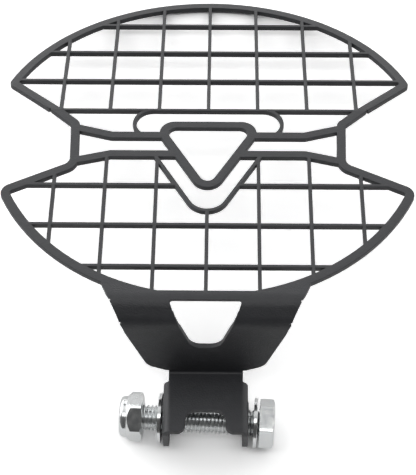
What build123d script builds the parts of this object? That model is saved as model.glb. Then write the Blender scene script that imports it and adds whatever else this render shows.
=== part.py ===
from build123d import *
import os
from math import asin, atan2, cos, degrees, hypot, radians, sin, tan

# Motorcycle headlight guard: one laser-cut, folded and powder-coated steel sheet, with the
# bolt, lock nut and washers that clamp it to the lamp's lower bracket. Millimetres.
# The sheet is drawn flat, panel by panel, with the crease across the grille as y = 0, and
# laid in the end on its back, as it rests on a table.

# Sheet
SHEET = 2.2                  # thickness with its coating
BRACKET_RADIUS = 5.5         # inner radius of the two folds below the grille
CLEVIS_RADIUS = 1.0          # inner radius of the folds round the clevis
CREASE_RADIUS = 1.5
NICK_RADIUS = 0.5            # round nick that marks each end of a fold line

# Grille outline, two round edges with a bite out of each side
ARCH_RADIUS = 87.3
ARCH_TOP = 77.0              # top of the upper edge above the crease
BOWL_RADIUS = 88.3
BOWL_CENTRE = -8.7           # height of the lower edge's centre
CREASE_ANGLE = 8.8           # the upper half leans back by this
FRAME = 3.6                  # width of the outer frame
BITE_TOP = (55.3, -8.45)     # the bite's inner corners
BITE_LOW = (54.5, -28.6)
BITE_UP_SLOPE = 42.8         # degrees, edge that climbs to the upper tip
BITE_DOWN_SLOPE = 27.1       # degrees, edge that falls to the lower tip
BITE_LOW_RADIUS = 3.6
UPPER_TIP_RADIUS = 3.0
LOWER_TIP_RADIUS = 4.6

# Square mesh
PITCH = 20.0
BAR = 1.45
SIDE_BARS = 3                # upright bars on each side of the middle one
UPPER_ROWS = 3               # cross bars above the crease bar
LOWER_ROWS = (2, 3, 4)       # cross bars below it, counted in pitches

# Waist: two members, a triangle in the middle, a loop above it and a vee below it
MEMBER = 3.5
MEMBER_UP = -13.9            # centre lines of the two members
MEMBER_LOW = -23.9
MEMBER_KINK = 38.6           # where a member turns towards the bite's corner
MEMBER_UP_SLOPE = 15.6       # degrees, beyond the kink
MEMBER_LOW_SLOPE = -14.5
TRIANGLE_TOP = -10.0         # top edge of the triangular opening
TRIANGLE_SIDE = 35.8
TRIANGLE_TOP_RADIUS = 3.1
TRIANGLE_TIP_RADIUS = 3.1
TRIANGLE_OUTER_RADIUS = 6.1  # top corners of the frame round it
TRIANGLE_FRAME = 3.5
LOOP_BAR = 1.5
LOOP_RADIUS = 7.4            # centre line of the loop's round ends
LOOP_CENTRE = 22.3           # the round ends' centres, each side of the middle
VEE_BAR = 1.6
VEE_TIP = -62.7              # where the vee's outer edges would meet
VEE_RADIUS = 9.0             # outer radius of the vee's bottom

# Bracket below the grille, from the grille's lower edge to the clevis
PLATE_RISE = 5.5             # lower edge of the mesh opening above the bowl's lowest point
FOLD_RISE = 1.25             # first fold line above it
SHOULDER_HALF = 38.9         # half width where the bracket leaves the round edge
FOLD_ANGLE = 45.0            # first and second fold
THROAT = 9.5                 # length from the first to the second fold line
SHELF = 31.0                 # length from the second to the third fold line
HALF_1 = 35.6                # half width at the first fold line
HALF_2 = 31.4                # half width at the second
SHELF_KNEE = (30.1, 5.6)     # half width and distance from the second fold line
SHELF_KNEE_RADIUS = 14.0
SHELF_CORNER = (22.4, 26.8)
SHELF_CORNER_RADIUS = 6.0
NECK_FLARE = 1.1             # the shelf is this much wider than the neck, each side, where they meet
NECK_HALF = 14.2

# Window through the bracket
WINDOW_TOP = 0.1             # top edge below the first fold line
WINDOW_HALF_1 = 13.5         # half width at the first fold line
WINDOW_HALF_2 = 10.3         # half width at the second
WINDOW_END = (5.2, 14.7)     # half width and distance from the second fold line
WINDOW_TOP_RADIUS = 0.8
WINDOW_END_RADIUS = 5.0

# Clevis: web and two ears
WEB = 26.6                   # from the third fold line down to the bottom edge
EAR_TOP = 4.0                # start of the ears below the third fold line
CLEVIS_WIDTH = 32.3          # over both ears
BOLT_BACK = 12.8             # bolt line behind the web's front face
BOLT_UP = 13.0               # bolt line above the web's bottom edge
EAR_RADIUS = 10.0
SLOT_HALF = 7.6
SLOT_HEIGHT = 9.6
SLOT_RADIUS = 4.0
LOBE_RADIUS = 3.2

# Bolt, nut and washers, placed along the bolt line from the clevis' middle
THREAD = 10.0
HOLE_PLAY = 2.0              # the ears' holes are wider than the thread by this
BOLT_LENGTH = 50.0
TIP_CHAMFER = 1.2
ACROSS_FLATS = 17.0
HEX_CHAMFER = 30.0           # degrees
HEAD_HEIGHT = 5.8
NUT_HEX = 6.1
NUT_COLLAR = 3.0
COLLAR_DIAMETER = 16.0
COLLAR_WALL = 1.7
COLLAR_ROUND = 2.0
COLLAR_LIP = 0.5             # thickness of the crimped lip over the insert
LIP_OVERLAP = 0.6
INSERT_GRIP = 0.3            # the insert's bore is narrower than the thread by twice this
WASHER_DIAMETER = 19.2
WASHER_PLAY = 0.5            # the washers' bore is wider than the thread by this
WASHER_THICK = 1.4
NUT_WASHER_GAP = 0.1         # nearest point of the washer to the left ear
HEAD_WASHER_GAP = 1.8        # nearest point of the other washer to the right ear
HEAD_GAP = 0.75              # that washer to the head
TIP_GAP = 0.6                # the bolt's tip to the insert
LEAN_SPARE = 0.25            # play left beside the bolt, which stands askew in the holes
BOLT_SINK = 0.2              # the loose bolt hangs this far below the holes' centres
HEAD_TURN = 7.0              # degrees from the vertical to a flat of the head
NUT_TURN = 24.0              # degrees from the vertical to a flat of the nut

BOWL_BOTTOM = BOWL_CENTRE - BOWL_RADIUS
PLATE_TOP = BOWL_BOTTOM + PLATE_RISE
FOLD_1 = BOWL_BOTTOM + FOLD_RISE
SHOULDER = (SHOULDER_HALF, BOWL_CENTRE - (BOWL_RADIUS**2 - SHOULDER_HALF**2) ** 0.5)
BOLT_LEAN = degrees(atan2(HOLE_PLAY / 2 - LEAN_SPARE, CLEVIS_WIDTH / 2))
WASHER_TILT = WASHER_DIAMETER / 2 * tan(radians(BOLT_LEAN))
NUT_WASHER = CLEVIS_WIDTH / 2 + NUT_WASHER_GAP + WASHER_TILT
HEAD_WASHER = CLEVIS_WIDTH / 2 + HEAD_WASHER_GAP + WASHER_TILT
HEAD_SEAT = HEAD_WASHER + WASHER_THICK + HEAD_GAP
NUT_SEAT = HEAD_SEAT - BOLT_LENGTH - TIP_GAP + NUT_HEX
INSERT_DIAMETER = COLLAR_DIAMETER - 2 * COLLAR_WALL


def setback(angle, radius):
    """Distance from a sharp fold line to where the round of the fold starts"""
    return radius * tan(radians(angle) / 2)


def blend(start, end, share):
    """Value that lies a share of the way from start to end"""
    return start + (end - start) * share


# Frames of the panels: x to the right, y up the sheet, z out of its front face.
# Each has its origin on the fold line that it starts from.
GRILLE = Location((0, 0, 0), (90, 0, 0))
UPPER = GRILLE * Rot(X=-CREASE_ANGLE)
FOLD_1_FRAME = GRILLE * Pos(Y=FOLD_1)
THROAT_FRAME = FOLD_1_FRAME * Rot(X=FOLD_ANGLE)
FOLD_2_FRAME = THROAT_FRAME * Pos(Y=-THROAT)
SHELF_FRAME = FOLD_2_FRAME * Rot(X=FOLD_ANGLE)
FOLD_3_FRAME = SHELF_FRAME * Pos(Y=-SHELF)
WEB_FRAME = FOLD_3_FRAME * Rot(X=-90)

EAR_OUTER = CLEVIS_RADIUS + SHEET
CREASE_SETBACK = setback(CREASE_ANGLE, CREASE_RADIUS + SHEET)
FOLD_SETBACK = setback(FOLD_ANGLE, BRACKET_RADIUS + SHEET)
WEB_SETBACK = setback(90, CLEVIS_RADIUS)


def panel(frame, sketch):
    """Flat panel of the sheet, behind the sketch of its front face"""
    return frame * extrude(sketch, amount=-SHEET)


def cut_face(width, height, middle):
    """Rectangle across the sheet, in the plane y = 0, with its middle at z = middle"""
    return Plane.XZ * Pos(Y=middle) * Rectangle(width, height)


def wedge(half_above, half_below):
    """Block through a fold of the bracket, as wide as the sheet above it and below it"""
    depth = SHEET + BRACKET_RADIUS
    start = Pos(Y=FOLD_SETBACK) * cut_face(2 * half_above, depth, -SHEET / 2)
    end = Rot(X=FOLD_ANGLE) * Pos(Y=-FOLD_SETBACK) * cut_face(2 * half_below, depth, -SHEET / 2)
    return loft([start, end], ruled=True)


def back_fold(angle, inner_radius, half):
    """Round of a fold where the sheet turns back below the fold line y = 0"""
    outer = inner_radius + SHEET
    start = setback(angle, outer)
    section = Pos(Y=start) * cut_face(2 * half, SHEET, -SHEET / 2)
    return revolve(section, Axis((0, start, -outer), (1, 0, 0)), angle)


def bracket_fold(half_above, half_below):
    """Round of a bracket fold whose sides slope with the panels' sides"""
    full = back_fold(FOLD_ANGLE, BRACKET_RADIUS, max(half_above, half_below))
    return full & wedge(half_above, half_below)


def mirrored(sketch):
    """The sketch with its mirror image on the other side of the middle"""
    return sketch + mirror(sketch, about=Plane.YZ)


def bar_between(start, end, width):
    """Straight bar with square ends"""
    length = hypot(end[0] - start[0], end[1] - start[1])
    turn = degrees(atan2(end[1] - start[1], end[0] - start[0]))
    middle = ((start[0] + end[0]) / 2, (start[1] + end[1]) / 2)
    return Pos(*middle) * Rot(Z=turn) * Rectangle(length, width)


def vee_shape(top, tip, radius):
    """Triangle with 60 degree corners that points down, its lower corner rounded"""
    half = (top - tip) * tan(radians(30))
    shape = make_face(Polyline((-half, top), (half, top), (0, tip), close=True))
    return fillet(shape.vertices().sort_by(Axis.Y)[0], radius)


def grille_outline():
    """Outer edge of the grille: a round plate with a bite out of each side"""
    far = ARCH_RADIUS + BOWL_RADIUS
    waist = (BITE_TOP[1] + BITE_LOW[1]) / 2
    above = Pos(Y=waist + far / 2) * Rectangle(2 * far, far)
    below = Pos(Y=waist - far / 2) * Rectangle(2 * far, far)
    arch = Pos(Y=ARCH_TOP - ARCH_RADIUS) * Circle(ARCH_RADIUS) & above
    bowl = Pos(Y=BOWL_CENTRE) * Circle(BOWL_RADIUS) & below
    reach = far - BITE_TOP[0]
    bite = make_face(
        Polyline(
            BITE_TOP,
            (far, BITE_TOP[1] + reach * tan(radians(BITE_UP_SLOPE))),
            (far, BITE_LOW[1] - reach * tan(radians(BITE_DOWN_SLOPE))),
            BITE_LOW,
            close=True,
        )
    )
    low_corner = bite.vertices().sort_by_distance((*BITE_LOW, 0))[0]
    bite = fillet(low_corner, BITE_LOW_RADIUS)
    outline = arch + bowl - mirrored(bite)
    for side in (-1, 1):
        tip = outline.vertices().sort_by_distance((side * far, far / 2, 0))[0]
        outline = fillet(tip, UPPER_TIP_RADIUS)
        tip = outline.vertices().sort_by_distance((side * far, -far / 2, 0))[0]
        outline = fillet(tip, LOWER_TIP_RADIUS)
    return outline


def mesh_bars(vee):
    """Square mesh; the vee's inside stays open"""
    far = 2 * ARCH_RADIUS
    bars = Sketch()
    for row in (*range(UPPER_ROWS + 1), *[-row for row in LOWER_ROWS]):
        bars += Pos(Y=row * PITCH) * Rectangle(far, BAR)
    for column in range(-SIDE_BARS, SIDE_BARS + 1):
        bars += Pos(X=column * PITCH, Y=far / 2) * Rectangle(BAR, far)
        bars += Pos(X=column * PITCH, Y=MEMBER_LOW - far / 2) * Rectangle(BAR, far)
    return bars - vee


def waist_member(height, slope):
    """Level bar across the waist, its ends turned up or down towards the bites"""
    level = Pos(Y=height) * Rectangle(2 * MEMBER_KINK, MEMBER)
    run = BITE_TOP[0] - MEMBER_KINK
    end = (BITE_TOP[0], height + run * tan(radians(slope)))
    turned = bar_between((MEMBER_KINK, height), end, MEMBER)
    turned += Pos(MEMBER_KINK, height) * Circle(MEMBER / 2)
    return level + mirrored(turned)


def loop_ends():
    """Two round ends that hang from the crease bar and stand on the upper member"""
    ring = Circle(LOOP_RADIUS + LOOP_BAR / 2) - Circle(LOOP_RADIUS - LOOP_BAR / 2)
    outer_half = Pos(X=2 * LOOP_RADIUS) * Rectangle(4 * LOOP_RADIUS, 4 * LOOP_RADIUS)
    end = Pos(LOOP_CENTRE, -LOOP_RADIUS) * (ring & outer_half)
    far = 2 * ARCH_RADIUS
    above_member = Pos(Y=MEMBER_UP + far / 2) * Rectangle(far, far)
    return mirrored(end & above_member)


def bracket_root():
    """Top of the bracket, down to the first fold line"""
    slope = (SHOULDER[0] - HALF_1) / (SHOULDER[1] - FOLD_1)
    root = SHOULDER[1] + FRAME / 2
    half_root = HALF_1 + slope * (root - FOLD_1)
    corners = ((-HALF_1, FOLD_1), (HALF_1, FOLD_1), (half_root, root), (-half_root, root))
    return make_face(Polyline(*corners, close=True))


def grille_drawing():
    """The whole flat sheet down to the round of the first fold"""
    outline = grille_outline()
    inside = offset(outline, -FRAME, kind=Kind.ARC)

    tip = TRIANGLE_TOP - TRIANGLE_SIDE * cos(radians(30))
    opening = vee_shape(TRIANGLE_TOP, tip, TRIANGLE_TIP_RADIUS)
    opening = fillet(opening.vertices().sort_by(Axis.Y)[-2:], TRIANGLE_TOP_RADIUS)
    top, tip = TRIANGLE_TOP + TRIANGLE_FRAME, tip - 2 * TRIANGLE_FRAME
    triangle = vee_shape(top, tip, TRIANGLE_TIP_RADIUS + TRIANGLE_FRAME)
    triangle = fillet(triangle.vertices().sort_by(Axis.Y)[-2:], TRIANGLE_OUTER_RADIUS)

    vee_outer = vee_shape(MEMBER_LOW, VEE_TIP, VEE_RADIUS)
    vee_inner = vee_shape(MEMBER_LOW, VEE_TIP + 2 * VEE_BAR, VEE_RADIUS - VEE_BAR)

    net = mesh_bars(vee_outer) + (vee_outer - vee_inner) + loop_ends()
    net += waist_member(MEMBER_UP, MEMBER_UP_SLOPE) + waist_member(MEMBER_LOW, MEMBER_LOW_SLOPE)
    net = (net + triangle) - opening

    plate = Pos(Y=PLATE_TOP - PITCH) * Rectangle(4 * SHOULDER[0], 2 * PITCH)
    solid = (outline + bracket_root()) - (inside - plate)
    lowest = FOLD_1 + FOLD_SETBACK
    height = ARCH_TOP - lowest
    sheet = Pos(Y=lowest + height / 2) * Rectangle(4 * ARCH_RADIUS, height)
    return (solid + (net & inside)) & sheet


def diagonal_half(height):
    """Half width of the grille where its edge climbs to the upper tip"""
    return BITE_TOP[0] + (height - BITE_TOP[1]) / tan(radians(BITE_UP_SLOPE))


def throat_panel():
    """Sloping panel between the first and the second fold"""
    share = FOLD_SETBACK / THROAT
    start = blend(HALF_1, HALF_2, share)
    end = blend(HALF_2, HALF_1, share)
    low = FOLD_SETBACK - THROAT
    corners = ((-start, -FOLD_SETBACK), (start, -FOLD_SETBACK), (end, low), (-end, low))
    return make_face(Polyline(*corners, close=True))


def shelf_panel():
    """Shelf that runs back from the second fold to the clevis"""
    share = FOLD_SETBACK / SHELF_KNEE[1]
    start = (blend(HALF_2, SHELF_KNEE[0], share), -FOLD_SETBACK)
    knee = (SHELF_KNEE[0], -SHELF_KNEE[1])
    corner = (SHELF_CORNER[0], -SHELF_CORNER[1])
    end = (NECK_HALF + NECK_FLARE, WEB_SETBACK - SHELF)
    right = (start, knee, corner, end)
    left = [(-x, y) for x, y in reversed(right)]
    shape = make_face(Polyline(*right, *left, close=True))
    knees = shape.vertices().group_by(lambda v: round(abs(v.Y - knee[1]), 3))[0]
    shape = fillet(knees, SHELF_KNEE_RADIUS)
    corners = shape.vertices().group_by(lambda v: round(abs(v.Y - corner[1]), 3))[0]
    return fillet(corners, SHELF_CORNER_RADIUS)


def window_cutters():
    """What the window takes out of the sheet, from the first fold to the shelf"""
    through = 2 * SHEET      # each way from the front face
    slope = (WINDOW_HALF_1 - WINDOW_HALF_2) / THROAT
    low_y = FOLD_SETBACK - THROAT
    before_fold = WINDOW_HALF_2 + slope * FOLD_SETBACK
    after_fold = blend(WINDOW_HALF_2, WINDOW_END[0], FOLD_SETBACK / WINDOW_END[1])

    def tapered(top, top_half, low, low_half):
        corners = ((-top_half, top), (top_half, top), (low_half, low), (-low_half, low))
        return make_face(Polyline(*corners, close=True))

    join = -FOLD_SETBACK - WINDOW_TOP_RADIUS
    join_half = WINDOW_HALF_1 + slope * join
    top = tapered(-WINDOW_TOP, WINDOW_HALF_1 - slope * WINDOW_TOP, join, join_half)
    top = fillet(top.vertices().sort_by(Axis.Y)[-2:], WINDOW_TOP_RADIUS)
    throat = tapered(join + SHEET / 2, join_half + slope * SHEET / 2, low_y, before_fold)
    half_end, end = WINDOW_END
    shelf = tapered(-FOLD_SETBACK, after_fold, -end, half_end)
    shelf = fillet(shelf.vertices().sort_by(Axis.Y)[:2], WINDOW_END_RADIUS)
    return [
        FOLD_1_FRAME * Rot(X=FOLD_ANGLE / 2) * extrude(top, amount=through, both=True),
        THROAT_FRAME * extrude(throat, amount=through, both=True),
        FOLD_2_FRAME * wedge(before_fold, after_fold),
        SHELF_FRAME * extrude(shelf, amount=through, both=True),
    ]


def tangent_point(corner, centre, radius, side):
    """Where the line from a corner touches a circle, on the side given by 1 or -1"""
    away = (centre[0] - corner[0], centre[1] - corner[1])
    distance = hypot(*away)
    turn = atan2(away[1], away[0]) + side * asin(radius / distance)
    reach = (distance**2 - radius**2) ** 0.5
    return (corner[0] + reach * cos(turn), corner[1] + reach * sin(turn))


def web_panel():
    """Upright web between the ears, open at the bottom for the slot"""
    flat_half = CLEVIS_WIDTH / 2 - EAR_OUTER
    neck = Pos(Y=-(WEB_SETBACK + EAR_TOP) / 2) * Rectangle(2 * NECK_HALF, EAR_TOP - WEB_SETBACK)
    body = Pos(Y=-(EAR_TOP + WEB) / 2) * Rectangle(2 * flat_half, WEB - EAR_TOP)
    slot = Pos(Y=SLOT_HEIGHT / 2 - WEB) * Rectangle(2 * SLOT_HALF, SLOT_HEIGHT)
    shape = neck + body - slot
    slot_roof = SLOT_HEIGHT - WEB
    roof = [v for v in shape.vertices() if abs(v.Y - slot_roof) < SHEET / 2]
    shape = fillet(roof, SLOT_RADIUS)
    mouth = [v for v in shape.vertices() if v.Y < slot_roof and abs(v.X) < SLOT_HALF + SHEET / 2]
    return fillet([v for v in mouth if abs(v.Y + WEB) < SHEET / 2], LOBE_RADIUS)


def ear_fold():
    """Round that turns the web's right edge back into the ear"""
    edge = CLEVIS_WIDTH / 2 - EAR_OUTER
    height = WEB - EAR_TOP
    section = Plane.YZ * Pos(-(EAR_TOP + WEB) / 2, -SHEET / 2) * Rectangle(height, SHEET)
    return revolve(Pos(X=edge) * section, Axis((edge, 0, -EAR_OUTER), (0, 1, 0)), 90)


def ear_panel():
    """Ear, drawn with x back from the web and y up: it tapers onto a round end"""
    centre = (BOLT_BACK, BOLT_UP - WEB)
    top = (EAR_OUTER, -EAR_TOP)
    low = (EAR_OUTER, -WEB)
    top_touch = tangent_point(top, centre, EAR_RADIUS, 1)
    low_touch = tangent_point(low, centre, EAR_RADIUS, -1)
    shape = make_face(Polyline(top, top_touch, centre, low_touch, low, close=True))
    hole = Pos(*centre) * Circle((THREAD + HOLE_PLAY) / 2)
    return shape + Pos(*centre) * Circle(EAR_RADIUS) - hole


def clevis():
    """Web and both ears, in the web's frame"""
    ear = Rot(Y=90) * extrude(ear_panel(), amount=SHEET)
    ear = Pos(X=CLEVIS_WIDTH / 2 - SHEET) * ear
    right = ear_fold() + ear
    return extrude(web_panel(), amount=-SHEET) + right + mirror(right, about=Plane.YZ)


def fold_nicks():
    """Round nicks that mark the ends of the crease and of the two bracket folds"""
    nick = Cylinder(NICK_RADIUS, 4 * SHEET)
    marks = (
        (GRILLE * Rot(X=-CREASE_ANGLE / 2), diagonal_half(0)),
        (FOLD_1_FRAME * Rot(X=FOLD_ANGLE / 2), HALF_1),
        (FOLD_2_FRAME * Rot(X=FOLD_ANGLE / 2), HALF_2),
    )
    return [frame * Pos(X=side * half) * nick for frame, half in marks for side in (-1, 1)]


def guard_plate():
    """The folded sheet, in the grille's upright frame"""
    drawing = grille_drawing()
    tall = 2 * ARCH_RADIUS
    above = Pos(Y=CREASE_SETBACK + tall / 2) * Rectangle(2 * tall, tall)
    below = Pos(Y=-CREASE_SETBACK - tall / 2) * Rectangle(2 * tall, tall)
    plate = panel(UPPER, drawing & above) + panel(GRILLE, drawing & below)
    plate += UPPER * back_fold(CREASE_ANGLE, CREASE_RADIUS, diagonal_half(0))

    side_slope = (SHOULDER[0] - HALF_1) / (SHOULDER[1] - FOLD_1)
    plate += FOLD_1_FRAME * bracket_fold(
        HALF_1 + side_slope * FOLD_SETBACK, blend(HALF_1, HALF_2, FOLD_SETBACK / THROAT)
    )
    plate += panel(THROAT_FRAME, throat_panel())
    plate += FOLD_2_FRAME * bracket_fold(
        blend(HALF_2, HALF_1, FOLD_SETBACK / THROAT),
        blend(HALF_2, SHELF_KNEE[0], FOLD_SETBACK / SHELF_KNEE[1]),
    )
    plate += panel(SHELF_FRAME, shelf_panel())

    neck = Pos(Y=WEB_SETBACK) * cut_face(2 * NECK_HALF, SHEET, -SHEET / 2)
    web_fold = revolve(neck, Axis((0, WEB_SETBACK, CLEVIS_RADIUS), (-1, 0, 0)), 90)
    plate += FOLD_3_FRAME * web_fold + WEB_FRAME * clevis()

    for cutter in window_cutters() + fold_nicks():
        plate -= cutter
    return plate


def hex_prism(height, low_turned, high_turned):
    """Hexagon along z with a flat towards x, its corners turned off at the ends that are named"""
    flat = ACROSS_FLATS / 2
    corner = flat / cos(radians(30))
    drop = (corner - flat) * tan(radians(HEX_CHAMFER))
    low_end = [(flat, 0), (corner, drop)] if low_turned else [(corner, 0)]
    high_end = [(corner, height - drop), (flat, height)] if high_turned else [(corner, height)]
    profile = Polyline((0, 0), *low_end, *high_end, (0, height), close=True)
    hexagon = RegularPolygon(flat, 6, major_radius=False, rotation=30)
    return extrude(hexagon, amount=height) & revolve(Plane.XZ * make_face(profile), Axis.Z)


def hex_bolt():
    """Bolt along z, its head above z = 0 and its thread below"""
    shank = Pos(Z=-BOLT_LENGTH / 2) * Cylinder(THREAD / 2, BOLT_LENGTH)
    tip = shank.edges().sort_by(Axis.Z)[0]
    return chamfer(tip, TIP_CHAMFER) + hex_prism(HEAD_HEIGHT, False, True)


def lock_nut():
    """Nut along z, its bearing face at z = 0, with a crimped collar round the insert"""
    height = NUT_HEX + NUT_COLLAR
    collar = Pos(Z=NUT_HEX + NUT_COLLAR / 2) * Cylinder(COLLAR_DIAMETER / 2, NUT_COLLAR)
    collar = fillet(collar.edges().sort_by(Axis.Z)[-1], COLLAR_ROUND)
    body = hex_prism(NUT_HEX, True, True) + collar
    bore = Pos(Z=height / 2) * Cylinder(THREAD / 2, height)
    pocket = Pos(Z=NUT_HEX + (NUT_COLLAR - COLLAR_LIP) / 2)
    pocket = pocket * Cylinder(INSERT_DIAMETER / 2, NUT_COLLAR - COLLAR_LIP)
    mouth = Pos(Z=height - COLLAR_LIP / 2) * Cylinder(INSERT_DIAMETER / 2 - LIP_OVERLAP, COLLAR_LIP)
    return body - bore - pocket - mouth


def nut_insert():
    """Nylon ring held in the nut's pocket"""
    height = NUT_COLLAR - COLLAR_LIP
    ring = Cylinder(INSERT_DIAMETER / 2, height) - Cylinder(THREAD / 2 - INSERT_GRIP, height)
    return Pos(Z=NUT_HEX + height / 2) * ring


def washer():
    """Flat washer along z, standing on z = 0"""
    bore = (THREAD + WASHER_PLAY) / 2
    ring = Cylinder(WASHER_DIAMETER / 2, WASHER_THICK) - Cylinder(bore, WASHER_THICK)
    return Pos(Z=WASHER_THICK / 2) * ring


def lying_angle():
    """Slope of the grille's lower half on the table, touching it with arch and ears"""
    bolt_line = WEB_FRAME * Pos(Y=BOLT_UP - WEB, Z=-BOLT_BACK)
    arch_edge = UPPER * Pos(Y=ARCH_TOP, Z=-SHEET)
    back = arch_edge.position.Y - bolt_line.position.Y
    up = arch_edge.position.Z - bolt_line.position.Z
    return degrees(atan2(-back, up) + asin(EAR_RADIUS / hypot(back, up)))


# The bolt line is a frame too: z runs along the bolt to its head, from the clevis' middle
LIE_DOWN = Rot(X=-90 - lying_angle())
hole_centre = LIE_DOWN * WEB_FRAME * Pos(Y=BOLT_UP - WEB, Z=-BOLT_BACK)
BOLT_LINE = Pos(hole_centre.position) * Pos(Z=-BOLT_SINK) * Rot(Z=-BOLT_LEAN) * Rot(Y=90)

pieces = {
    "guard_plate": LIE_DOWN * guard_plate(),
    "hex_bolt": BOLT_LINE * Pos(Z=HEAD_SEAT) * Rot(Z=HEAD_TURN) * hex_bolt(),
    "lock_nut": BOLT_LINE * Pos(Z=NUT_SEAT) * Rot(X=180) * Rot(Z=-NUT_TURN) * lock_nut(),
    "nut_insert": BOLT_LINE * Pos(Z=NUT_SEAT) * Rot(X=180) * nut_insert(),
    "nut_side_washer": BOLT_LINE * Pos(Z=-NUT_WASHER - WASHER_THICK) * washer(),
    "head_side_washer": BOLT_LINE * Pos(Z=HEAD_WASHER) * washer(),
}
box = pieces["guard_plate"].bounding_box()
for piece in pieces.values():
    box = box.add(piece.bounding_box())
middle = box.center()
TO_ORIGIN = Pos(-middle.X, -middle.Y, -box.min.Z)

os.makedirs("parts", exist_ok=True)
for name, piece in pieces.items():
    export_step(TO_ORIGIN * piece, f"parts/{name}.step")
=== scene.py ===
import math

import bmesh
import bpy
from mathutils import Matrix, Vector


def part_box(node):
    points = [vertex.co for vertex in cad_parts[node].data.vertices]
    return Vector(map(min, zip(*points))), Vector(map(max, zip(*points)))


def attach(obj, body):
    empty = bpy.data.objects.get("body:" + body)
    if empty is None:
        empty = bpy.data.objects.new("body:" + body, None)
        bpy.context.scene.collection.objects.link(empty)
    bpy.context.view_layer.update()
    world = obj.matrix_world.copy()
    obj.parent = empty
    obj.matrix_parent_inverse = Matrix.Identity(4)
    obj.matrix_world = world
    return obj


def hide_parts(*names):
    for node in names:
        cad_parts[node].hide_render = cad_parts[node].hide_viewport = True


# The guard lies on its back on a white table: +X runs along the clamp bolt to its head,
# +Y from the clevis to the top of the grille and +Z out of the grille's front face.
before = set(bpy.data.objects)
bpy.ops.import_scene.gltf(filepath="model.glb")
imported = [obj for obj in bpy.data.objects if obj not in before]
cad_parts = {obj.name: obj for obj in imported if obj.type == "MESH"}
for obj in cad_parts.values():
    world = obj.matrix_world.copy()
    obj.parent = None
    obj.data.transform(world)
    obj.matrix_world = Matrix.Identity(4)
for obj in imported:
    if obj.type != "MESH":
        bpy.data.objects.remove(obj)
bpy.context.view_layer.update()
MM = 0.001


# Guard plate: one sheet of mild steel, laser cut, folded across the grille, twice below it
# and three times round the clevis, then sprayed with black polyester powder and stoved.
# The molten powder draws back from every cut edge, so each edge ends in a small round.
COAT_EDGE = 0.26 * MM        # round that the coat forms along a cut edge
CUT_ANGLE = math.radians(50)  # an edge sharper than this is a cut edge
SMOOTH_ANGLE = math.radians(35)  # an edge flatter than this shades smoothly
LEAST_SPREAD = 0.4           # keeps the coat's edge close to the cut where that turns back
MESH_WELD = 0.001 * MM       # points nearer than this are one


def smooth_patches(mesh, angle):
    """Groups of faces that no edge sharper than the angle divides, largest area first"""
    left = set(mesh.faces)
    patches = []
    while left:
        reached = [left.pop()]
        patch = set(reached)
        while reached:
            for edge in reached.pop().edges:
                if edge.calc_face_angle(0) > angle:
                    continue
                fresh = [face for face in edge.link_faces if face in left]
                left.difference_update(fresh)
                patch.update(fresh)
                reached.extend(fresh)
        patches.append(patch)
    return sorted(patches, key=lambda patch: -sum(face.calc_area() for face in patch))


def drawn_in(vert, sides, radius):
    """Where a corner of a border goes when the border moves into its faces by a radius"""
    pulls = []
    for edge, face in sides:
        pull = face.normal.cross(edge.verts[1].co - edge.verts[0].co).normalized()
        middle = face.calc_center_median() - edge.verts[0].co
        pulls.append(pull if pull.dot(middle) > 0 else -pull)
    spread = max(1 + pulls[0].dot(pulls[-1]), LEAST_SPREAD)
    return vert.co + (pulls[0] + pulls[-1]) * radius / spread


def coated_sheet(node):
    """Copy of the sheet's mesh whose cut edges, front and back, are rounded by the coat"""
    sheet = bmesh.new()
    sheet.from_mesh(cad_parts[node].data)
    bmesh.ops.remove_doubles(sheet, verts=sheet.verts, dist=MESH_WELD)
    sheet.normal_update()
    front, back = smooth_patches(sheet, CUT_ANGLE)[:2]
    broad = front | back
    cut = [e for e in sheet.edges if sum(face in broad for face in e.link_faces) == 1]

    border = {}
    for edge in cut:
        outer, wall = sorted(edge.link_faces, key=lambda face: face not in broad)
        for vert in edge.verts:
            border.setdefault(vert, []).append((edge, outer, wall))

    rounded = bmesh.new()
    points = {}
    for vert in sheet.verts:
        if vert not in border:
            points[vert] = dict.fromkeys(("broad", "wall"), rounded.verts.new(vert.co))
            continue
        ends = border[vert]
        top = drawn_in(vert, [(edge, outer) for edge, outer, _ in ends], COAT_EDGE)
        low = drawn_in(vert, [(edge, wall) for edge, _, wall in ends], COAT_EDGE)
        centre = top + low - vert.co
        middle = centre + (2 * vert.co - top - low) * math.sqrt(0.5)
        places = {"broad": top, "round": middle, "wall": low}
        points[vert] = {name: rounded.verts.new(place) for name, place in places.items()}

    for face in sheet.faces:
        side = "broad" if face in broad else "wall"
        rounded.faces.new([points[vert][side] for vert in face.verts])
    for edge in cut:
        outer = next(face for face in edge.link_faces if face in broad)
        loop = next(loop for loop in edge.link_loops if loop.face == outer)
        first, second = loop.link_loop_next.vert, loop.vert
        for upper, lower in (("broad", "round"), ("round", "wall")):
            high_side = [points[first][upper], points[second][upper]]
            low_side = [points[second][lower], points[first][lower]]
            rounded.faces.new(high_side + low_side)
    sheet.free()
    return rounded


def add_piece(name, mesh):
    """Object for a finished mesh, smooth but for its sharp edges"""
    bmesh.ops.remove_doubles(mesh, verts=mesh.verts, dist=MESH_WELD)
    bmesh.ops.delete(mesh, geom=[v for v in mesh.verts if not v.link_faces], context="VERTS")
    bmesh.ops.recalc_face_normals(mesh, faces=mesh.faces)
    for face in mesh.faces:
        face.smooth = True
    for edge in mesh.edges:
        edge.smooth = edge.is_manifold and edge.calc_face_angle() < SMOOTH_ANGLE
    data = bpy.data.meshes.new(name)
    mesh.to_mesh(data)
    mesh.free()
    piece = bpy.data.objects.new(name, data)
    bpy.context.scene.collection.objects.link(piece)
    shading = piece.modifiers.new("face_normals_first", "WEIGHTED_NORMAL")
    shading.keep_sharp = True
    return piece


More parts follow.
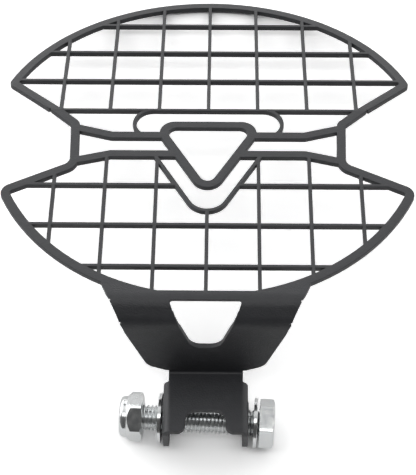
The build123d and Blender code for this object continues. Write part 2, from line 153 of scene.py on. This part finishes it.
def paint(code):
    """Linear colour of an sRGB hex code"""
    parts = [int(code[start:start + 2], 16) / 255 for start in (1, 3, 5)]
    linear = [c / 12.92 if c <= 0.04045 else ((c + 0.055) / 1.055) ** 2.4 for c in parts]
    return (*linear, 1)


def add_node(material, kind, settings=None, links=None):
    """Adds a node to a material, with its settings and with what is linked to its inputs"""
    node = material.node_tree.nodes.new(kind)
    for name, value in (settings or {}).items():
        if isinstance(name, int) or name in node.inputs:
            node.inputs[name].default_value = value
        else:
            setattr(node, name, value)
    for name, source in (links or {}).items():
        material.node_tree.links.new(source, node.inputs[name])
    return node


# Polyester powder coat, stoved: a satin film of charcoal black with a fine even grain. The
# grain spreads the lights' reflections over the whole sheet, which makes it look dark grey.
POWDER_GRAIN = 0.55 * MM     # width of a grain; the real ones are nearer 0.2 mm
POWDER_FLOW = 3.5 * MM       # width of the slow swells between grains
powder_coat = bpy.data.materials.new("black_powder_coat")
powder_coat.use_nodes = True
powder_coat.node_tree.nodes.clear()
place = add_node(powder_coat, "ShaderNodeTexCoord").outputs["Object"]
grain = add_node(
    powder_coat,
    "ShaderNodeTexNoise",
    {"Scale": 1 / POWDER_GRAIN, "Detail": 2.0, "Roughness": 0.6},
    {"Vector": place},
)
flow = add_node(
    powder_coat,
    "ShaderNodeTexNoise",
    {"Scale": 1 / POWDER_FLOW, "Detail": 1.0},
    {"Vector": place},
)
relief = add_node(
    powder_coat,
    "ShaderNodeMath",
    {"operation": "MULTIPLY_ADD", 1: 0.5},
    {0: flow.outputs["Fac"], 2: grain.outputs["Fac"]},
)
bump = add_node(
    powder_coat,
    "ShaderNodeBump",
    {"Strength": 0.9, "Distance": 0.16 * MM},
    {"Height": relief.outputs["Value"]},
)
tone = add_node(
    powder_coat,
    "ShaderNodeMix",
    {"data_type": "RGBA", 6: paint("#2a2b2e"), 7: paint("#313235")},
    {0: flow.outputs["Fac"]},
)
gloss = add_node(
    powder_coat,
    "ShaderNodeMapRange",
    {"From Min": 0.3, "From Max": 0.7, "To Min": 0.38, "To Max": 0.50},
    {"Value": grain.outputs["Fac"]},
)
film = add_node(
    powder_coat,
    "ShaderNodeBsdfPrincipled",
    {"IOR": 1.5},
    {
        "Base Color": tone.outputs[2],
        "Roughness": gloss.outputs["Result"],
        "Normal": bump.outputs["Normal"],
    },
)
add_node(powder_coat, "ShaderNodeOutputMaterial", {}, {"Surface": film.outputs["BSDF"]})

plate = add_piece("guard_plate_coated", coated_sheet("guard_plate"))
plate.data.materials.append(powder_coat)
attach(plate, "root")
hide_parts("guard_plate")


# Washers: two flat M10 washers, punched from steel strip and zinc plated. Punching rolls
# one rim over and leaves the other nearly square. They hang loose on the bolt.
WASHER_RADIUS = 9.6 * MM
WASHER_BORE = 5.25 * MM
WASHER_THICK = 1.4 * MM
PUNCHED_ROLL = 0.35 * MM     # radius of the rolled rim
PUNCHED_BURR = 0.08 * MM     # radius of the other rims
AROUND = 96                  # steps round every turned piece, a multiple of six for hexagons


def centre_of(node):
    """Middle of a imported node's box"""
    low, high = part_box(node)
    return (low + high) / 2


def along_bolt(distance, turn=0.0, flipped=False):
    """Frame on the bolt line: z towards the head, x down, at a distance from the head washer"""
    z = (centre_of("head_side_washer") - centre_of("nut_side_washer")).normalized()
    x = Vector((0, 0, -1))
    y = z.cross(x)
    axes = Matrix((x, y, z)).transposed().to_4x4()
    origin = Matrix.Translation(centre_of("head_side_washer") + z * distance)
    flip = Matrix.Rotation(math.pi if flipped else 0, 4, "X")
    return origin @ axes @ flip @ Matrix.Rotation(math.radians(turn), 4, "Z")


def turned(mesh, outline, closed=True):
    """Adds a piece turned round z; each point of its outline is a radius, or a function
    from angle to radius, and a height, or a function from angle to height"""
    rings = []
    for radius, height in outline:
        ring = []
        for step in range(AROUND):
            angle = 2 * math.pi * step / AROUND
            r = radius(angle) if callable(radius) else radius
            z = height(angle) if callable(height) else height
            ring.append(mesh.verts.new((r * math.cos(angle), r * math.sin(angle), z)))
        rings.append(ring)
    pairs = list(zip(rings, rings[1:]))
    if closed:
        pairs.append((rings[-1], rings[0]))
    else:
        mesh.faces.new(rings[0])
        mesh.faces.new(rings[-1])
    for low, high in pairs:
        for step in range(AROUND):
            after = (step + 1) % AROUND
            mesh.faces.new((low[step], low[after], high[after], high[step]))


def corner_arc(centre, radius, start, end, steps):
    """Points of a rounded corner, its angles in degrees"""
    angles = [math.radians(start + (end - start) * i / steps) for i in range(steps + 1)]
    return [(centre[0] + radius * math.cos(a), centre[1] + radius * math.sin(a)) for a in angles]


def washer_mesh():
    """Flat washer round z, its middle at z = 0, its rolled rim above"""
    half = WASHER_THICK / 2
    mesh = bmesh.new()
    rolled, burred = PUNCHED_ROLL, PUNCHED_BURR
    outline = [
        *corner_arc((WASHER_RADIUS - burred, -half + burred), burred, -90, 0, 2),
        *corner_arc((WASHER_RADIUS - rolled, half - rolled), rolled, 0, 90, 4),
        *corner_arc((WASHER_BORE + burred, half - burred), burred, 90, 180, 2),
        *corner_arc((WASHER_BORE + burred, -half + burred), burred, 180, 270, 2),
    ]
    turned(mesh, outline)
    return mesh


# Zinc plating, bright, over steel: a silvery metal with a faintly blue passivation. The
# plating follows the drawn and rolled steel below it, so its gloss is slightly cloudy.
CLOUD = 2.2 * MM             # width of a cloudy patch of the plating
DRAW_MARK = 0.4 * MM         # width of the steel's rolling marks; the real ones are nearer 0.1 mm
zinc = bpy.data.materials.new("bright_zinc_plating")
zinc.use_nodes = True
zinc.node_tree.nodes.clear()
place = add_node(zinc, "ShaderNodeTexCoord").outputs["Object"]
cloud = add_node(
    zinc, "ShaderNodeTexNoise", {"Scale": 1 / CLOUD, "Detail": 3.0}, {"Vector": place}
)
marks = add_node(
    zinc, "ShaderNodeTexNoise", {"Scale": 1 / DRAW_MARK, "Detail": 2.0}, {"Vector": place}
)
tint = add_node(
    zinc,
    "ShaderNodeMix",
    {"data_type": "RGBA", 6: paint("#d6d9dc"), 7: paint("#e8e9e7")},
    {0: cloud.outputs["Fac"]},
)
gloss = add_node(
    zinc,
    "ShaderNodeMapRange",
    {"From Min": 0.3, "From Max": 0.7, "To Min": 0.12, "To Max": 0.22},
    {"Value": cloud.outputs["Fac"]},
)
bump = add_node(
    zinc,
    "ShaderNodeBump",
    {"Strength": 0.5, "Distance": 0.02 * MM},
    {"Height": marks.outputs["Fac"]},
)
plating = add_node(
    zinc,
    "ShaderNodeBsdfPrincipled",
    {"Metallic": 1.0},
    {
        "Base Color": tint.outputs[2],
        "Roughness": gloss.outputs["Result"],
        "Normal": bump.outputs["Normal"],
    },
)
add_node(zinc, "ShaderNodeOutputMaterial", {}, {"Surface": plating.outputs["BSDF"]})

washer_gap = (centre_of("head_side_washer") - centre_of("nut_side_washer")).length
for node, distance in (("head_side_washer", 0.0), ("nut_side_washer", -washer_gap)):
    mesh = washer_mesh()
    mesh.transform(along_bolt(distance))
    washer = add_piece(f"{node}_punched", mesh)
    washer.data.materials.append(zinc)
    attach(washer, "root")
    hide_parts(node)


# Bolt: M10 x 50 hexagon bolt, cold-headed from steel wire, its thread rolled over the whole
# length, then zinc plated. Its head is 17 mm across the flats and its top corners are
# turned off at 30 degrees.
THREAD_RADIUS = 4.98 * MM
THREAD_DEPTH = 0.92 * MM
THREAD_PITCH = 1.5 * MM
THREAD_SUNK = 0.4 * MM       # the thread's upper end lies this deep in the head
BOLT_LENGTH = 50 * MM
TIP_CHAMFER = 1.2 * MM
HEAD_HEIGHT = 5.8 * MM
HEAD_SEAT = 1.45 * MM        # from the head washer's middle
HEAD_TURN = 7.0              # degrees from the vertical to a flat
HALF_FLATS = 8.5 * MM
CORNER_WEAR = 0.16 * MM      # the hexagon's upright corners are rubbed down by this
HEX_SOFT = 0.2 * MM          # round between the flats and a flat face
RIM_DIP = 0.03 * MM          # fall of a flat face to its rim
TOP_SLOPE = math.tan(math.radians(30))


def hexagon(angle):
    """Radius of the hexagon at an angle, with the middle of a flat at angle 0"""
    from_flat = ((angle + math.pi / 6) % (math.pi / 3)) - math.pi / 6
    corner = HALF_FLATS / math.cos(math.pi / 6)
    return min(HALF_FLATS / math.cos(from_flat), corner - CORNER_WEAR)


def hex_outline(height, low_turned, slope=TOP_SLOPE):
    """Outline of a hexagon head or nut from its lower face at 0 to its turned upper face,
    whose cone has the slope; the lower corners are turned off too or stay sharp"""
    ring = HALF_FLATS - HEX_SOFT

    def low_edge(angle):
        return (hexagon(angle) - ring) * TOP_SLOPE

    def high_edge(angle):
        return height - (hexagon(angle) - ring) * slope

    if low_turned:
        foot = [(ring - HEX_SOFT, 0), (ring, RIM_DIP), (hexagon, low_edge)]
    else:
        foot = [(lambda angle: hexagon(angle) - HEX_SOFT, 0), (hexagon, HEX_SOFT)]
    return [*foot, (hexagon, high_edge), (ring, height - RIM_DIP), (ring - HEX_SOFT, height)]


def add_thread(mesh):
    """Adds the thread below z = 0, rounded by its rolling and plating; its rows climb with
    the helix and it ends flat"""
    rows_per_pitch = 10
    pitches = BOLT_LENGTH / THREAD_PITCH
    core = THREAD_RADIUS - THREAD_DEPTH
    columns = []
    for step in range(AROUND):
        angle = 2 * math.pi * step / AROUND
        column = []
        for row in range(rows_per_pitch * int(pitches + 3)):
            share = row / rows_per_pitch
            climbed = (share + step / AROUND - pitches - 1) * THREAD_PITCH
            z = min(max(climbed, -BOLT_LENGTH), THREAD_SUNK)
            depth = THREAD_DEPTH * (1 + math.cos(2 * math.pi * share)) / 2
            chamfer = THREAD_RADIUS - TIP_CHAMFER + z + BOLT_LENGTH
            radius = min(core if z == THREAD_SUNK else THREAD_RADIUS - depth, chamfer)
            column.append(mesh.verts.new((radius * math.cos(angle), radius * math.sin(angle), z)))
        columns.append(column)
    for step in range(AROUND):
        this, after = columns[step], columns[(step + 1) % AROUND]
        climb = rows_per_pitch if step == AROUND - 1 else 0
        for row in range(len(this) - climb - 1):
            mesh.faces.new((this[row], after[row + climb], after[row + climb + 1], this[row + 1]))
    for end in (0, -1):
        mesh.faces.new([column[end] for column in columns])


# The same plating comes out duller over the rolled thread, so its highlights are softer.
thread_zinc = zinc.copy()
thread_zinc.name = "zinc_plated_thread"
thread_gloss = thread_zinc.node_tree.nodes[gloss.name]
thread_gloss.inputs["To Min"].default_value = 0.24
thread_gloss.inputs["To Max"].default_value = 0.34

mesh = bmesh.new()
add_thread(mesh)
for face in mesh.faces:
    face.material_index = 1
turned(mesh, hex_outline(HEAD_HEIGHT, low_turned=False), closed=False)
mesh.transform(along_bolt(HEAD_SEAT, HEAD_TURN))
bolt = add_piece("hex_bolt_threaded", mesh)
bolt.data.materials.append(zinc)
bolt.data.materials.append(thread_zinc)
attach(bolt, "root")
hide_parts("hex_bolt")


# Lock nut: M10, turned from hexagon bar and zinc plated. A cone leads from its flats to the
# collar, which is crimped over a nylon ring that grips the thread once the bolt is home.
NUT_SEAT = -43.05 * MM       # from the head washer's middle
NUT_TURN = 24.0              # degrees from the vertical to a flat
NUT_HEX = 6.1 * MM
NUT_COLLAR = 3.0 * MM
COLLAR_RADIUS = 8.0 * MM
COLLAR_ROUND = 2.0 * MM
POCKET_RADIUS = 6.3 * MM
LIP_RADIUS = 5.7 * MM
LIP_THICK = 0.5 * MM
NUT_BORE = 5.02 * MM
LEAD_IN = 0.6 * MM           # chamfer where the thread enters
COLLAR_FOOT = 0.25 * MM      # hollow round between the flats and the collar
CONE_SLOPE = math.tan(math.radians(50))

nut_top = NUT_HEX + NUT_COLLAR
lip = LIP_THICK / 2
outline = hex_outline(NUT_HEX, low_turned=True, slope=CONE_SLOPE)[:-1]
outline += [
    *corner_arc((COLLAR_RADIUS + COLLAR_FOOT, NUT_HEX + COLLAR_FOOT), COLLAR_FOOT, 270, 180, 2),
    *corner_arc((COLLAR_RADIUS - COLLAR_ROUND, nut_top - COLLAR_ROUND), COLLAR_ROUND, 0, 90, 8),
    *corner_arc((LIP_RADIUS + lip, nut_top - lip), lip, 90, 270, 4),
    (POCKET_RADIUS, nut_top - LIP_THICK),
    (POCKET_RADIUS, NUT_HEX),
    (NUT_BORE, NUT_HEX),
    (NUT_BORE, LEAD_IN),
    (NUT_BORE + LEAD_IN, 0),
]
mesh = bmesh.new()
turned(mesh, outline)
mesh.transform(along_bolt(NUT_SEAT, -NUT_TURN, flipped=True))
nut = add_piece("lock_nut_crimped", mesh)
nut.data.materials.append(zinc)
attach(nut, "root")
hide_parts("lock_nut")


# Nut insert: a ring of moulded natural nylon, pressed into the nut's collar. It is milky and
# slightly translucent, with a soft gloss.
INSERT_BORE = 4.7 * MM
INSERT_EDGE = 0.3 * MM       # round where the bolt enters
HAZE = 1.5 * MM              # width of a milky patch
nylon = bpy.data.materials.new("natural_nylon")
nylon.use_nodes = True
nylon.node_tree.nodes.clear()
place = add_node(nylon, "ShaderNodeTexCoord").outputs["Object"]
haze = add_node(
    nylon, "ShaderNodeTexNoise", {"Scale": 1 / HAZE, "Detail": 2.0}, {"Vector": place}
)
milk = add_node(
    nylon,
    "ShaderNodeMix",
    {"data_type": "RGBA", 6: paint("#dcdad0"), 7: paint("#e9e7de")},
    {0: haze.outputs["Fac"]},
)
ring = add_node(
    nylon,
    "ShaderNodeBsdfPrincipled",
    {
        "Roughness": 0.42,
        "IOR": 1.53,
        "Subsurface Weight": 0.3,
        "Subsurface Scale": 1.0 * MM,
    },
    {"Base Color": milk.outputs[2]},
)
add_node(nylon, "ShaderNodeOutputMaterial", {}, {"Surface": ring.outputs["BSDF"]})

low, high = NUT_HEX, nut_top - LIP_THICK
outline = [
    (POCKET_RADIUS, low),
    (POCKET_RADIUS, high),
    *corner_arc((INSERT_BORE + INSERT_EDGE, high - INSERT_EDGE), INSERT_EDGE, 90, 180, 3),
    (INSERT_BORE, low),
]
mesh = bmesh.new()
turned(mesh, outline)
mesh.transform(along_bolt(NUT_SEAT, -NUT_TURN, flipped=True))
insert = add_piece("nut_insert_moulded", mesh)
insert.data.materials.append(nylon)
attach(insert, "root")
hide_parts("nut_insert")


# Table: a sheet of matt white board that runs out of view. The camera sees it as white
# paper, yet it keeps the guard's soft shadow.
TABLE_HALF = 3.0             # metres
board = bpy.data.materials.new("white_board")
board.use_nodes = True
board.node_tree.nodes.clear()
matt = add_node(board, "ShaderNodeBsdfDiffuse", {"Color": paint("#e6e6e6")})
white = add_node(board, "ShaderNodeBsdfDiffuse", {"Color": paint("#ffffff")})
grey = add_node(board, "ShaderNodeBsdfDiffuse", {"Color": paint("#d0d0d0")})
paper = add_node(board, "ShaderNodeAddShader", {}, {0: grey.outputs[0], 1: white.outputs[0]})
rays = add_node(board, "ShaderNodeLightPath")
mirrored = add_node(
    board,
    "ShaderNodeMixShader",
    {},
    {0: rays.outputs["Is Glossy Ray"], 1: matt.outputs[0], 2: white.outputs[0]},
)
seen = add_node(
    board,
    "ShaderNodeMixShader",
    {},
    {0: rays.outputs["Is Camera Ray"], 1: mirrored.outputs[0], 2: paper.outputs[0]},
)
add_node(board, "ShaderNodeOutputMaterial", {}, {"Surface": seen.outputs[0]})
mesh = bmesh.new()
signs = [(-1, -1), (1, -1), (1, 1), (-1, 1)]
mesh.faces.new([mesh.verts.new((x * TABLE_HALF, y * TABLE_HALF, 0)) for x, y in signs])
data = bpy.data.meshes.new("table")
mesh.to_mesh(data)
mesh.free()
table = bpy.data.objects.new("table", data)
data.materials.append(board)
bpy.context.scene.collection.objects.link(table)


# Light: a pale room, bright at the wall behind the table and towards the window on the left
# and dim behind the camera, with one long soft lamp over the table.
LAMP_AT = Vector((0, -0.235, 1.08))  # metres
LAMP_AIM = Vector((0, 0, 0.03))
FRONT_GLOW = 0.08            # strength of the room's dim part behind the camera
WALL_GLOW = 0.85             # of its ceiling, and what the wall adds to that
WINDOW_GAIN = 2.2            # the far left is this much brighter than the middle and right
CEILING_TILT = (-25, 35)     # degrees from straight up towards the wall, where it brightens
WALL_TILT = (50, 70)
lamp_data = bpy.data.lights.new("soft_lamp", "AREA")
lamp_data.shape = "RECTANGLE"
lamp_data.size = 1.6
lamp_data.size_y = 0.31
lamp_data.energy = 3.6
lamp = bpy.data.objects.new("soft_lamp", lamp_data)
lamp.location = LAMP_AT
lamp.rotation_euler = (LAMP_AT - LAMP_AIM).to_track_quat("Z", "Y").to_euler()
bpy.context.scene.collection.objects.link(lamp)

room = bpy.data.worlds.new("pale_room")
bpy.context.scene.world = room
room.use_nodes = True
room.node_tree.nodes.clear()
way = add_node(room, "ShaderNodeTexCoord").outputs["Generated"]
axes = add_node(room, "ShaderNodeSeparateXYZ", {}, {0: way}).outputs
tilt = add_node(room, "ShaderNodeMath", {"operation": "ARCTAN2"}, {0: axes["Y"], 1: axes["Z"]})
ceiling = add_node(
    room,
    "ShaderNodeMapRange",
    {
        "interpolation_type": "SMOOTHSTEP",
        "From Min": math.radians(CEILING_TILT[0]),
        "From Max": math.radians(CEILING_TILT[1]),
        "To Min": FRONT_GLOW,
        "To Max": WALL_GLOW,
    },
    {"Value": tilt.outputs[0]},
)
wall = add_node(
    room,
    "ShaderNodeMapRange",
    {
        "interpolation_type": "SMOOTHSTEP",
        "From Min": math.radians(WALL_TILT[0]),
        "From Max": math.radians(WALL_TILT[1]),
        "To Max": WALL_GLOW,
    },
    {"Value": tilt.outputs[0]},
)
window = add_node(
    room,
    "ShaderNodeMapRange",
    {"From Min": -0.9, "From Max": 0, "To Min": WINDOW_GAIN},
    {"Value": axes["X"]},
)
sides = add_node(
    room, "ShaderNodeMath", {"operation": "ADD"}, {0: ceiling.outputs[0], 1: wall.outputs[0]}
)
light = add_node(
    room, "ShaderNodeMath", {"operation": "MULTIPLY"}, {0: sides.outputs[0], 1: window.outputs[0]}
)
rays = add_node(room, "ShaderNodeLightPath")
strength = add_node(
    room,
    "ShaderNodeMix",
    {"data_type": "FLOAT", 3: 1.0},
    {0: rays.outputs["Is Camera Ray"], 2: light.outputs[0]},
)
air = add_node(
    room, "ShaderNodeBackground", {"Color": paint("#ffffff")}, {"Strength": strength.outputs[0]}
)
add_node(room, "ShaderNodeOutputWorld", {}, {"Surface": air.outputs["Background"]})


# Camera: above the clevis end, looking down on the grille with a long lens, so that the
# folds below the grille and the clamp bolt show as well.
CAMERA_AT = Vector((6.454, -278.314, 571.900)) * MM
CAMERA_TURN = (25.118, 0.381, 0.564)  # degrees about x, y and z
camera_data = bpy.data.cameras.new("camera")
camera_data.sensor_fit = "VERTICAL"
camera_data.sensor_height = 36
camera_data.lens = 115.98
camera_data.clip_start = 0.01
camera = bpy.data.objects.new("camera", camera_data)
camera.location = CAMERA_AT
camera.rotation_euler = [math.radians(turn) for turn in CAMERA_TURN]
bpy.context.scene.collection.objects.link(camera)
bpy.context.scene.camera = camera
bpy.context.scene.view_settings.view_transform = "Standard"
